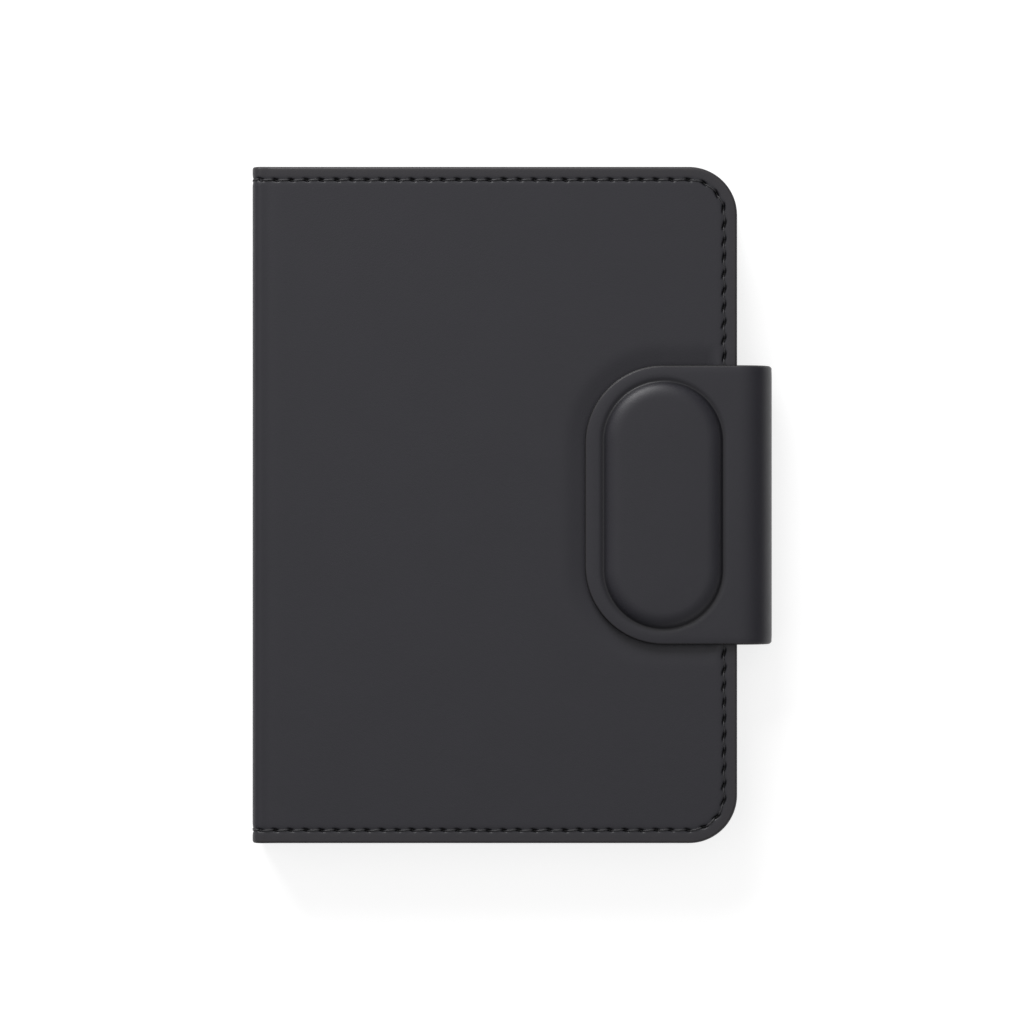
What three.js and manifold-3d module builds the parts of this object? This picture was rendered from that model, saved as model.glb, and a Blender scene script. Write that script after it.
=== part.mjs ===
// Passport holder wallet, closed and lying on its back cover.
//
// A book-style travel wallet in soft-touch synthetic leather. Two stiffened covers are joined by a
// soft spine, and a strap rises from the back cover, passes round the fore edge and ends in a
// magnetic tab with a raised pad that rests on the front cover.
//
// Millimetres, +Z up. The origin is the centre of the back cover's outer face, which lies in the
// plane z = 0. The spine is on the -X side, the strap on the +X side and the top edge is +Y.

import * as THREE from "three";
import { mergeVertices } from "three/addons/utils/BufferGeometryUtils.js";
import Module from "manifold-3d";

const wasm = await Module();
wasm.setup();

// ---------------------------------------------------------------- driving dimensions

const COVER_W = 100.4; // spine to fore edge
const COVER_H = 140; // bottom edge to top edge
const CLOSED_T = 14; // outer face to outer face, closed
const CORNER_R = 10; // fore-edge corners
const FOLD_R = 2; // outer radius of the two spine folds
const GLUE = 0.05; // clearance left for adhesive between layers

const SKIN_T = 0.8; // synthetic leather
const BOARD_T = 1.2; // stiffener board
const HEM_T = 0.4; // skin skived thin where it is turned in
const HEM_W = 8; // how far it is turned in
const LINING_T = 0.4;
const LINING_INSET = 1.5;
const BOARD_FROM_SPINE = 5.5; // soft margin between the fold and the board

const SEAM_INSET = 2.9; // stitch line to edge
const THREAD_W = 0.7;
const THREAD_T = 0.2;
const CHANNEL_W = 0.9; // furrow that the thread pulls into the surface
const CHANNEL_D = 0.28;
const SEAM_FROM_SPINE = 3; // where a cover's own length of seam starts

const POCKET_INSET = 4.2; // pocket panels stop inside the perimeter seam
const POCKET_RIM = 1.5; // glued margin round a pocket
const SLEEVE_T = 0.5;
const SLEEVE_ROOM = 0.6; // for the passport's own cover
const SLEEVE_MOUTH_X = -10; // free edge of the sleeve
const CARD_PANEL_T = 0.45;
const CARD_ROOM = 0.25; // for one card, before it stretches
const CARD_LEFT = 6.5; // card panels to the spine edge
const CARD_MOUTHS_Y = { card_pocket_upper: 10, card_pocket_middle: -4, card_pocket_lower: -18 };

const SPINE_BOARD_T = 0.6;
const SPINE_BOARD_MARGIN = 0.6; // board ends to the folds

const STRAP_W = 57.4; // along the fore edge
const STRAP_OUT = 7.2; // how far the strap stands out past the covers
const STRAP_SKIN_T = 0.85;
const STRAP_LINING_T = 0.6;
const STRAP_TONGUE = 12; // length held inside the back cover
const STRAP_SLOT_PLAY = 0.2;
const STRAP_LINING_INSET = 0.4; // lining stops short of the strap's long edges
const STRAP_SPLIT_DEG = 45; // the bend is parted here, either side of its outermost line
const TAB_REST_GAP = 0.1; // tab lining to front cover

const TAB_LEFT_X = 18.8; // free end of the tab
const TAB_CORNER_R = 16.1;
const PAD_X = 34.85; // centre of the raised pad
const PAD_R = 12.85; // half its width, and the radius of its ends
const PAD_HALF_STRAIGHT = 12.85;
const PAD_RISE = 1.6;
const PAD_SLOPE = 3;
const PAD_STEPS = 4; // facets up the slope
const PAD_WALL = 0.8;
const PAD_CORE_R = 11.1; // board and foam inside the pad
const PAD_CAVITY_R = 11.3;
const FOAM_T = 0.5;

const MAGNET_R = 5;
const MAGNET_T = 1;
const MAGNET_Y = 12.6;
const MAGNET_PLAY = 0.15;
const KEEPER_R = 9;
const KEEPER_T = 0.5;

const MITRE_DEG = 1; // half the slit between two lengths of a skin split at a fold
const ARC_STEPS = 10; // facets on a corner
const OVERCUT = 1; // how far a cutting tool runs past the face it cuts

// ---------------------------------------------------------------- worked out from them

const EDGE_X = COVER_W / 2;
const EDGE_Y = COVER_H / 2;
const FLAT_LEFT = -EDGE_X + FOLD_R; // where a cover's flat face meets its fold
const BOARD_Z = SKIN_T + GLUE; // heights inside one cover, from its outer face
const HEM_Z = BOARD_Z + BOARD_T + GLUE;
const LINING_Z = HEM_Z + HEM_T + GLUE;
const INSIDE_Z = LINING_Z + LINING_T; // exposed face of the lining

const STRAP_T = STRAP_SKIN_T + GLUE + STRAP_LINING_T;
const STRAP_LOW = SKIN_T + GLUE; // outer face of the strap where it leaves the back cover
const TAB_LOW = CLOSED_T + TAB_REST_GAP;
const TAB_TOP = TAB_LOW + STRAP_T;
const BEND_R = (TAB_TOP - STRAP_LOW) / 2;
const BEND_X = EDGE_X + STRAP_OUT - BEND_R;
const BEND_Z = STRAP_LOW + BEND_R;

const COLOURS = {
  skin: { color: 0x3b3b3f, roughness: 0.62, metalness: 0 },
  lining: { color: 0x2b2b2e, roughness: 0.9, metalness: 0 },
  pocket: { color: 0x35353a, roughness: 0.65, metalness: 0 },
  thread: { color: 0x161618, roughness: 0.7, metalness: 0 },
  board: { color: 0x8a8072, roughness: 0.95, metalness: 0 },
  foam: { color: 0x55565a, roughness: 0.95, metalness: 0 },
  steel: { color: 0xb4b6b8, roughness: 0.35, metalness: 1 },
  magnet: { color: 0xc9cacc, roughness: 0.25, metalness: 1 },
};

// ---------------------------------------------------------------- solids

function toSolid(geometry) {
  geometry.deleteAttribute("normal");
  geometry.deleteAttribute("uv");
  const merged = mergeVertices(geometry, 1e-4);
  return new wasm.Manifold(
    new wasm.Mesh({
      numProp: 3,
      vertProperties: Float32Array.from(merged.attributes.position.array),
      triVerts: Uint32Array.from(merged.index.array),
    }),
  );
}

function toGeometry(solid) {
  const { vertProperties, triVerts, numProp } = solid.getMesh();
  const positions = new Float32Array((vertProperties.length / numProp) * 3);
  for (let i = 0; i < positions.length / 3; i++) {
    positions.set(vertProperties.subarray(i * numProp, i * numProp + 3), i * 3);
  }
  const geometry = new THREE.BufferGeometry();
  geometry.setAttribute("position", new THREE.BufferAttribute(positions, 3));
  geometry.setIndex(new THREE.BufferAttribute(Uint32Array.from(triVerts), 1));
  geometry.computeVertexNormals();
  return geometry;
}

// An outline in XY, made solid between two heights.
function plate(outline, low, high) {
  const geometry = new THREE.ExtrudeGeometry(outline, {
    depth: high - low,
    bevelEnabled: false,
    curveSegments: ARC_STEPS,
  });
  geometry.translate(0, 0, low);
  return toSolid(geometry);
}

// A section drawn in X and Z, made solid along Y between two places.
function bar(section, fromY, toY, curveSegments = ARC_STEPS) {
  const geometry = new THREE.ExtrudeGeometry(section, {
    depth: toY - fromY,
    bevelEnabled: false,
    curveSegments,
  });
  geometry.rotateX(Math.PI / 2);
  geometry.translate(0, toY, 0);
  return toSolid(geometry);
}

function rectangle(left, right, low, high) {
  const shape = new THREE.Shape();
  shape.moveTo(left, low);
  shape.lineTo(right, low);
  shape.lineTo(right, high);
  shape.lineTo(left, high);
  shape.closePath();
  return shape;
}

// A cover seen flat: square at the spine, round at the fore edge, drawn in by inset.
function coverOutline(inset, left) {
  const right = EDGE_X - inset;
  const half = EDGE_Y - inset;
  const radius = CORNER_R - inset;
  const shape = new THREE.Shape();
  shape.moveTo(left, -half);
  shape.lineTo(right - radius, -half);
  shape.absarc(right - radius, -half + radius, radius, -Math.PI / 2, 0, false);
  shape.absarc(right - radius, half - radius, radius, 0, Math.PI / 2, false);
  shape.lineTo(left, half);
  shape.closePath();
  return shape;
}

// A round-ended slot shape that stands along Y.
function obround(x, halfStraight, radius) {
  const shape = new THREE.Shape();
  shape.absarc(x, halfStraight, radius, 0, Math.PI, false);
  shape.absarc(x, -halfStraight, radius, Math.PI, 2 * Math.PI, false);
  shape.closePath();
  return shape;
}

function circle(x, y, radius) {
  const shape = new THREE.Shape();
  shape.absarc(x, y, radius, 0, 2 * Math.PI, false);
  return shape;
}

// A band drawn between two radii, with angles in degrees from +X towards +Z.
function arcBand(x, z, outer, inner, fromDeg, toDeg) {
  const from = THREE.MathUtils.degToRad(fromDeg);
  const to = THREE.MathUtils.degToRad(toDeg);
  const shape = new THREE.Shape();
  shape.absarc(x, z, outer, from, to, false);
  shape.absarc(x, z, inner, to, from, true);
  shape.closePath();
  return shape;
}

// A U-shaped strip that follows the three sewn edges of a cover.
function seamStrip(width, left, low, high) {
  const outer = plate(coverOutline(SEAM_INSET - width / 2, left), low, high);
  const inner = plate(coverOutline(SEAM_INSET + width / 2, left - OVERCUT), low - OVERCUT, high + OVERCUT);
  return outer.subtract(inner);
}

// ---------------------------------------------------------------- one cover, outer face down

function coverSkin() {
  const seamChannel = seamStrip(CHANNEL_W, FLAT_LEFT, -OVERCUT, CHANNEL_D);
  const core = plate(coverOutline(SKIN_T, FLAT_LEFT - OVERCUT), SKIN_T, HEM_Z);
  const window = plate(coverOutline(HEM_W, FLAT_LEFT - OVERCUT), SKIN_T, LINING_Z);
  const fold = bar(
    arcBand(FLAT_LEFT, FOLD_R, FOLD_R, FOLD_R - SKIN_T, 225 + MITRE_DEG, 270),
    -EDGE_Y,
    EDGE_Y,
  );
  return plate(coverOutline(0, FLAT_LEFT), 0, HEM_Z + HEM_T)
    .subtract(core)
    .subtract(window)
    .subtract(seamChannel)
    .add(fold);
}

function coverBoard() {
  const inset = SKIN_T + GLUE;
  return plate(coverOutline(inset, -EDGE_X + BOARD_FROM_SPINE), BOARD_Z, BOARD_Z + BOARD_T);
}

function coverLining() {
  const left = FLAT_LEFT + GLUE;
  const channel = seamStrip(CHANNEL_W, left - OVERCUT, INSIDE_Z - CHANNEL_D, INSIDE_Z + OVERCUT);
  return plate(coverOutline(LINING_INSET, left), LINING_Z, INSIDE_Z).subtract(channel);
}

function outerThread() {
  const low = CHANNEL_D - GLUE - THREAD_T;
  return seamStrip(THREAD_W, -EDGE_X + SEAM_FROM_SPINE, low, low + THREAD_T);
}

function innerThread() {
  const low = INSIDE_Z - CHANNEL_D + GLUE;
  return seamStrip(THREAD_W, -EDGE_X + SEAM_FROM_SPINE, low, low + THREAD_T);
}

// The room that the strap's tongue takes out of the back cover.
function strapSlot() {
  const half = STRAP_W / 2 + STRAP_SLOT_PLAY;
  const left = EDGE_X - STRAP_TONGUE - STRAP_SLOT_PLAY;
  return plate(rectangle(left, EDGE_X + OVERCUT, -half, half), SKIN_T, LINING_Z);
}

// ---------------------------------------------------------------- pockets, open side up

function passportSleeve() {
  const low = INSIDE_Z + GLUE;
  const panelLow = INSIDE_Z + SLEEVE_ROOM;
  const room = plate(
    coverOutline(POCKET_INSET + POCKET_RIM, SLEEVE_MOUTH_X - OVERCUT),
    low - OVERCUT,
    panelLow,
  );
  return plate(coverOutline(POCKET_INSET, SLEEVE_MOUTH_X), low, panelLow + SLEEVE_T).subtract(room);
}

// In the front cover's frame +Y runs towards the bottom edge of the wallet.
function cardPocket(layer, mouthY) {
  const low = INSIDE_Z + GLUE + layer * (CARD_ROOM + CARD_PANEL_T);
  const panelLow = low + CARD_ROOM - GLUE;
  const left = -EDGE_X + CARD_LEFT;
  const above = plate(
    rectangle(left - OVERCUT, EDGE_X, -EDGE_Y, mouthY),
    low - OVERCUT,
    panelLow + CARD_PANEL_T + OVERCUT,
  );
  const room = plate(
    rectangle(
      left + POCKET_RIM,
      EDGE_X - POCKET_INSET - POCKET_RIM,
      mouthY - OVERCUT,
      EDGE_Y - POCKET_INSET - POCKET_RIM,
    ),
    low - OVERCUT,
    panelLow,
  );
  return plate(coverOutline(POCKET_INSET, left), low, panelLow + CARD_PANEL_T)
    .subtract(above)
    .subtract(room);
}

// ---------------------------------------------------------------- spine

// The spine skin from one end: straight between the folds, and curved into each as far as the slit.
function spineSection(outer, inner) {
  const lowFold = THREE.MathUtils.degToRad(225 - MITRE_DEG);
  const highFold = THREE.MathUtils.degToRad(135 + MITRE_DEG);
  const shape = new THREE.Shape();
  shape.absarc(FLAT_LEFT, CLOSED_T - FOLD_R, outer, highFold, Math.PI, false);
  shape.absarc(FLAT_LEFT, FOLD_R, outer, Math.PI, lowFold, false);
  shape.absarc(FLAT_LEFT, FOLD_R, inner, lowFold, Math.PI, true);
  shape.absarc(FLAT_LEFT, CLOSED_T - FOLD_R, inner, Math.PI, highFold, true);
  shape.closePath();
  return shape;
}

// A strip of the spine's straight part, depth below its outer face.
function spineStrip(depth, thickness, margin) {
  const left = -EDGE_X + depth;
  return rectangle(left, left + thickness, FOLD_R + margin, CLOSED_T - FOLD_R - margin);
}

function spineSkin() {
  const channel = spineStrip(-OVERCUT, OVERCUT + CHANNEL_D, 0);
  let skin = bar(spineSection(FOLD_R, FOLD_R - SKIN_T), -EDGE_Y, EDGE_Y);
  for (const side of [-1, 1]) {
    const seam = side * (EDGE_Y - SEAM_INSET);
    skin = skin.subtract(bar(channel, seam - CHANNEL_W / 2, seam + CHANNEL_W / 2));
  }
  return skin;
}

function spineThread(side) {
  const seam = side * (EDGE_Y - SEAM_INSET);
  const depth = CHANNEL_D - GLUE - THREAD_T;
  return bar(spineStrip(depth, THREAD_T, GLUE), seam - THREAD_W / 2, seam + THREAD_W / 2);
}

function spineBoard() {
  const half = EDGE_Y - LINING_INSET;
  return bar(spineStrip(SKIN_T + GLUE, SPINE_BOARD_T, SPINE_BOARD_MARGIN), -half, half);
}

function spineLining() {
  const half = EDGE_Y - LINING_INSET;
  const depth = SKIN_T + GLUE + SPINE_BOARD_T + GLUE;
  return bar(spineStrip(depth, LINING_T, SPINE_BOARD_MARGIN), -half, half);
}

// ---------------------------------------------------------------- strap

// The strap has a skin outside and a lining inside. Each is given by its two radii on the bend.
const STRAP_LAYERS = {
  skin: { outer: BEND_R, inner: BEND_R - STRAP_SKIN_T },
  lining: { outer: BEND_R - STRAP_SKIN_T - GLUE, inner: BEND_R - STRAP_T },
};

function strapHalf(layer) {
  return layer === "lining" ? STRAP_W / 2 - STRAP_LINING_INSET : STRAP_W / 2;
}

// The tongue in the back cover and the first part of the bend.
function strapAnchor(layer) {
  const { outer, inner } = STRAP_LAYERS[layer];
  const end = THREE.MathUtils.degToRad(-STRAP_SPLIT_DEG - MITRE_DEG / 2);
  const tongueX = EDGE_X - STRAP_TONGUE;
  const shape = new THREE.Shape();
  shape.moveTo(tongueX, BEND_Z - outer);
  shape.lineTo(BEND_X, BEND_Z - outer);
  shape.absarc(BEND_X, BEND_Z, outer, -Math.PI / 2, end, false);
  shape.absarc(BEND_X, BEND_Z, inner, end, -Math.PI / 2, true);
  shape.lineTo(tongueX, BEND_Z - inner);
  shape.closePath();
  return bar(shape, -strapHalf(layer), strapHalf(layer));
}

function strapEdge(layer) {
  const { outer, inner } = STRAP_LAYERS[layer];
  const end = STRAP_SPLIT_DEG - MITRE_DEG / 2;
  return bar(arcBand(BEND_X, BEND_Z, outer, inner, -end, end), -strapHalf(layer), strapHalf(layer));
}

// The tab seen flat, drawn in by inset. Its plain end runs on past the bend.
function tabOutline(inset) {
  const half = STRAP_W / 2 - inset;
  const left = TAB_LEFT_X + inset;
  const radius = TAB_CORNER_R - inset;
  const right = BEND_X + BEND_R + OVERCUT;
  const shape = new THREE.Shape();
  shape.moveTo(right, -half);
  shape.lineTo(right, half);
  shape.absarc(left + radius, half - radius, radius, Math.PI / 2, Math.PI, false);
  shape.absarc(left + radius, -half + radius, radius, Math.PI, 1.5 * Math.PI, false);
  shape.closePath();
  return shape;
}

// The last part of the bend and the flat tab, without the raised pad.
function tabSheet(layer) {
  const { outer, inner } = STRAP_LAYERS[layer];
  const start = THREE.MathUtils.degToRad(STRAP_SPLIT_DEG + MITRE_DEG / 2);
  const left = TAB_LEFT_X - OVERCUT;
  const shape = new THREE.Shape();
  shape.absarc(BEND_X, BEND_Z, outer, start, Math.PI / 2, false);
  shape.lineTo(left, BEND_Z + outer);
  shape.lineTo(left, BEND_Z + inner);
  shape.absarc(BEND_X, BEND_Z, inner, Math.PI / 2, start, true);
  shape.closePath();
  const inset = layer === "lining" ? STRAP_LINING_INSET : 0;
  const outline = plate(tabOutline(inset), CLOSED_T - BEND_R, TAB_TOP + OVERCUT);
  return bar(shape, -STRAP_W, STRAP_W).intersect(outline);
}

function tabSkin() {
  const mound = new THREE.ExtrudeGeometry(obround(PAD_X, PAD_HALF_STRAIGHT, PAD_R), {
    depth: PAD_RISE,
    bevelThickness: PAD_RISE,
    bevelSize: PAD_SLOPE,
    bevelOffset: -PAD_SLOPE,
    bevelSegments: PAD_STEPS,
    curveSegments: 2 * ARC_STEPS,
  });
  mound.translate(0, 0, TAB_TOP - PAD_RISE);
  const low = TAB_TOP - STRAP_SKIN_T;
  const everythingAbove = plate(rectangle(0, EDGE_X, -EDGE_Y, EDGE_Y), low, TAB_TOP + 2 * PAD_RISE);
  const cavity = plate(
    obround(PAD_X, PAD_HALF_STRAIGHT, PAD_CAVITY_R),
    low - OVERCUT,
    TAB_TOP + PAD_RISE - PAD_WALL,
  );
  return tabSheet("skin").add(toSolid(mound).intersect(everythingAbove)).subtract(cavity);
}

const CORE_Z = TAB_LOW + STRAP_LINING_T + GLUE;

function tabBoard() {
  let board = plate(obround(PAD_X, PAD_HALF_STRAIGHT, PAD_CORE_R), CORE_Z, CORE_Z + MAGNET_T);
  for (const side of [-1, 1]) {
    const hole = circle(PAD_X, side * MAGNET_Y, MAGNET_R + MAGNET_PLAY);
    board = board.subtract(plate(hole, CORE_Z - OVERCUT, CORE_Z + MAGNET_T + OVERCUT));
  }
  return board;
}

function tabFoam() {
  const low = CORE_Z + MAGNET_T + GLUE;
  return plate(obround(PAD_X, PAD_HALF_STRAIGHT, PAD_CORE_R), low, low + FOAM_T);
}

function tabMagnet(side) {
  return plate(circle(PAD_X, side * MAGNET_Y, MAGNET_R), CORE_Z, CORE_Z + MAGNET_T);
}

// The steel plate lies in a recess in the outer face of the front cover's board.
function keeperShape(play, low, high) {
  return plate(obround(PAD_X, PAD_HALF_STRAIGHT, KEEPER_R + play), low, high);
}

// ---------------------------------------------------------------- assembly

function addPart(group, name, colour, solid) {
  const mesh = new THREE.Mesh(toGeometry(solid), new THREE.MeshStandardMaterial(COLOURS[colour]));
  mesh.name = name;
  group.add(mesh);
}

const wallet = new THREE.Group();

const backCover = new THREE.Group();
addPart(backCover, "back_cover_skin", "skin", coverSkin().subtract(strapSlot()));
addPart(backCover, "back_cover_board", "board", coverBoard().subtract(strapSlot()));
addPart(backCover, "back_cover_lining", "lining", coverLining());
addPart(backCover, "passport_sleeve", "pocket", passportSleeve());
addPart(backCover, "back_seam_outer_thread", "thread", outerThread());
addPart(backCover, "back_seam_inner_thread", "thread", innerThread());
addPart(backCover, "strap_anchor_skin", "skin", strapAnchor("skin"));
addPart(backCover, "strap_anchor_lining", "lining", strapAnchor("lining"));
wallet.add(backCover);

const spine = new THREE.Group();
addPart(spine, "spine_skin", "skin", spineSkin());
addPart(spine, "spine_board", "board", spineBoard());
addPart(spine, "spine_lining", "lining", spineLining());
addPart(spine, "spine_top_thread", "thread", spineThread(1));
addPart(spine, "spine_bottom_thread", "thread", spineThread(-1));
wallet.add(spine);

// The front cover is a second cover, turned over about X and set at the closed thickness.
const frontCover = new THREE.Group();
const recess = keeperShape(GLUE, SKIN_T, BOARD_Z + KEEPER_T + GLUE);
addPart(frontCover, "front_cover_skin", "skin", coverSkin());
addPart(frontCover, "front_cover_board", "board", coverBoard().subtract(recess));
addPart(frontCover, "keeper_plate", "steel", keeperShape(0, BOARD_Z, BOARD_Z + KEEPER_T));
addPart(frontCover, "front_cover_lining", "lining", coverLining());
Object.entries(CARD_MOUTHS_Y).forEach(([name, mouthY], layer) => {
  addPart(frontCover, name, "pocket", cardPocket(layer, -mouthY));
});
addPart(frontCover, "front_seam_outer_thread", "thread", outerThread());
addPart(frontCover, "front_seam_inner_thread", "thread", innerThread());
frontCover.rotation.x = Math.PI;
frontCover.position.z = CLOSED_T;
wallet.add(frontCover);

const strap = new THREE.Group();
addPart(strap, "strap_edge_skin", "skin", strapEdge("skin"));
addPart(strap, "strap_edge_lining", "lining", strapEdge("lining"));
addPart(strap, "tab_skin", "skin", tabSkin());
addPart(strap, "tab_lining", "lining", tabSheet("lining"));
addPart(strap, "tab_board", "board", tabBoard());
addPart(strap, "tab_foam_pad", "foam", tabFoam());
addPart(strap, "tab_magnet_upper", "magnet", tabMagnet(1));
addPart(strap, "tab_magnet_lower", "magnet", tabMagnet(-1));
wallet.add(strap);

export default wallet;
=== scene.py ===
"""Looks for a closed passport holder wallet in charcoal soft-touch synthetic leather.

The outer skin, its lining and the strap are each made in two pieces that meet where the material is at
rest: half way up the spine, and half way round the fore edge. Each piece is a closed mesh drawn flat in
(u, v) as nested U-shaped rings, then wrapped round its folds, so the same few functions make the covers,
the linings, the strap and the pockets. Lengths here are millimetres, and become metres in make_object.
"""

import math

import bmesh
import bpy
import numpy as np
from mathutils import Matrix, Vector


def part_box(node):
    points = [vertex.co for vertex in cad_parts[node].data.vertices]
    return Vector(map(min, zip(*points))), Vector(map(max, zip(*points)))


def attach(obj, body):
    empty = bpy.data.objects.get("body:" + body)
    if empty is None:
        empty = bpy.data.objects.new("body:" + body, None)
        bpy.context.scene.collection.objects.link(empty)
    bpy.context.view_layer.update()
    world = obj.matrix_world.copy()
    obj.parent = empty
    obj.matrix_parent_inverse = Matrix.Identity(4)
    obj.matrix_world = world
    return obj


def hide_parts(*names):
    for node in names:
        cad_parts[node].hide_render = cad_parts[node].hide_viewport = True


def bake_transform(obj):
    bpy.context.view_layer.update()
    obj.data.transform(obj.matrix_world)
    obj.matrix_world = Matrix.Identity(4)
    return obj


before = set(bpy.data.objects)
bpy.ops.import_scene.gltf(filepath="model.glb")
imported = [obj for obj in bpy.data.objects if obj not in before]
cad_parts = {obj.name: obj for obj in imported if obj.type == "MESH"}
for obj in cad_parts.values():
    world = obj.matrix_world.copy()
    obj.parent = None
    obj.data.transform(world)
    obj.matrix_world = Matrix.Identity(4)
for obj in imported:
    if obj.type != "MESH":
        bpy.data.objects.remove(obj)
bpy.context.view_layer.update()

MM = 0.001
RIGHT_ANGLE = math.pi / 2
SMOOTH_ANGLE = math.radians(50)  # a sharper edge than this is shaded as an edge
RNG = np.random.default_rng(7)

# ---------------------------------------------------------------- sizes from the CAD parts


def corners(node):
    """Lowest and highest corner of a CAD node, in millimetres."""
    low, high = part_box(node)
    return low / MM, high / MM


_, COVER_HIGH = corners("front_cover_skin")
SPINE_LOW, _ = corners("spine_skin")
BOARD_LOW, _ = corners("front_cover_board")
TAB_LOW, TAB_HIGH = corners("tab_skin")
FOAM_LOW, _ = corners("tab_foam_pad")
ANCHOR_LOW, _ = corners("strap_anchor_skin")
_, BEND_HIGH = corners("strap_edge_skin")
SLEEVE_LOW, SLEEVE_HIGH = corners("passport_sleeve")

EDGE_X = COVER_HIGH.x
EDGE_Y = COVER_HIGH.y
CLOSED_T = COVER_HIGH.z
SPINE_X = SPINE_LOW.x
BOARD_X = BOARD_LOW.x  # the board's edge shows as a faint step
STRAP_HALF = TAB_HIGH.y
PAD_RISE = 1.6
TAB_FACE = TAB_HIGH.z - PAD_RISE
BEND_R = (TAB_FACE - ANCHOR_LOW.z) / 2
BEND_X = BEND_HIGH.x - BEND_R
BEND_Z = ANCHOR_LOW.z + BEND_R
BEND_LENGTH = BEND_R * RIGHT_ANGLE

# ---------------------------------------------------------------- sizes of the sewn work

CORNER_R = 10.0
FOLD_R = 2.0
FLAT_X = SPINE_X + FOLD_R  # where a cover's flat face meets its fold
FOLD_END_U = FLAT_X - FOLD_R * RIGHT_ANGLE
MID_SPINE_U = FOLD_END_U - (CLOSED_T / 2 - FOLD_R)

SKIN_T = 0.8
RIM_T = 2.5  # skin, board and turned-in hem at the edge of a cover
SPINE_RIM_T = 1.45  # the same on the spine
HEM_TOP = 2.1
HEM_W = 8.0
SPINE_HEM_W = 1.4
EDGE_ROUND = 0.6
LINING_INSET = 1.5
LINING_T = 0.4
LINING_DEPTH = 2.55
SPINE_LINING_DEPTH = 1.5
SLOT_HALF = STRAP_HALF + 0.3  # half the opening in the back cover's fore edge, for the strap
SLOT_RIM_T = 0.8
SLOT_REACH = 9.5

SEAM = 2.72  # stitch line to edge
PITCH = 3.15
EDGE_PITCH = 3.4
THREAD_R = 0.2
HOLE_HALF_L = 0.62  # along head and tail
EDGE_HOLE_HALF_L = 0.92  # down the fore edge
HOLE_HALF_W = 0.29
HOLE_SLANT = math.radians(17)

STRAP_SKIN_T = 0.85
STRAP_LINING_DEPTH = 0.92
STRAP_LINING_T = 0.46  # leaves the tab clear of the stitches under it
STRAP_LINING_INSET = 0.4
TAB_CORNER_R = 16.1
TONGUE_CORNER_R = 2.0

BEND_SQUARE = 0.82  # 1 for a round bend, less for a squarer one
BEND_BULGE = 1.04

PAD_X = 34.85
PAD_HALF = 13.25  # half the length of the pad's straight side
PAD_FOOT_R = 12.3
PAD_CREST_R = 8.3
PAD_CROWN = 0.1
PAD_SHOULDER = 2.5  # power of the pad's rounded edge
PAD_REGION_R = 13.55
GROOVE_DEPTH = 0.27
GROOVE_W = 0.55
GROOVE_OUTER_W = 0.7
GROOVE_PAINTED_SHADE = 0.5  # painted shade drawn along the pad's pressed groove: how much darker it is
PAD_WALL_R = 11.3
PAD_WALL_T = 0.3

POCKET_RIM = 1.5
POCKET_CORNER_R = 5.8
CARD_GAP = 0.2


# ---------------------------------------------------------------- small sums


def smooth(value, low, high):
    """0 below low, 1 above high, and a smooth rise between."""
    t = np.clip((value - low) / (high - low), 0, 1)
    return t * t * (3 - 2 * t)


def mix(a, b, share):
    return a + (b - a) * share


def bell(value, centre, width):
    return np.exp(-(((value - centre) / width) ** 2))


def unit(vectors):
    vectors = np.asarray(vectors, float)
    return vectors / np.linalg.norm(vectors, axis=-1, keepdims=True)


# ---------------------------------------------------------------- camera

VIEW_HEIGHT = 750.0  # above the front cover
VIEW_WIDTH = 211.8  # across the picture, at the front cover
VIEW_X = 3.6
VIEW_Y = -1.45
SENSOR = 36.0


def make_camera():
    data = bpy.data.cameras.new("camera")
    data.sensor_width = SENSOR
    data.lens = SENSOR * VIEW_HEIGHT / VIEW_WIDTH
    camera = bpy.data.objects.new("camera", data)
    camera.location = (VIEW_X * MM, VIEW_Y * MM, (CLOSED_T + VIEW_HEIGHT) * MM)
    bpy.context.scene.collection.objects.link(camera)
    bpy.context.scene.camera = camera


make_camera()

# ---------------------------------------------------------------- materials


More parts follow.
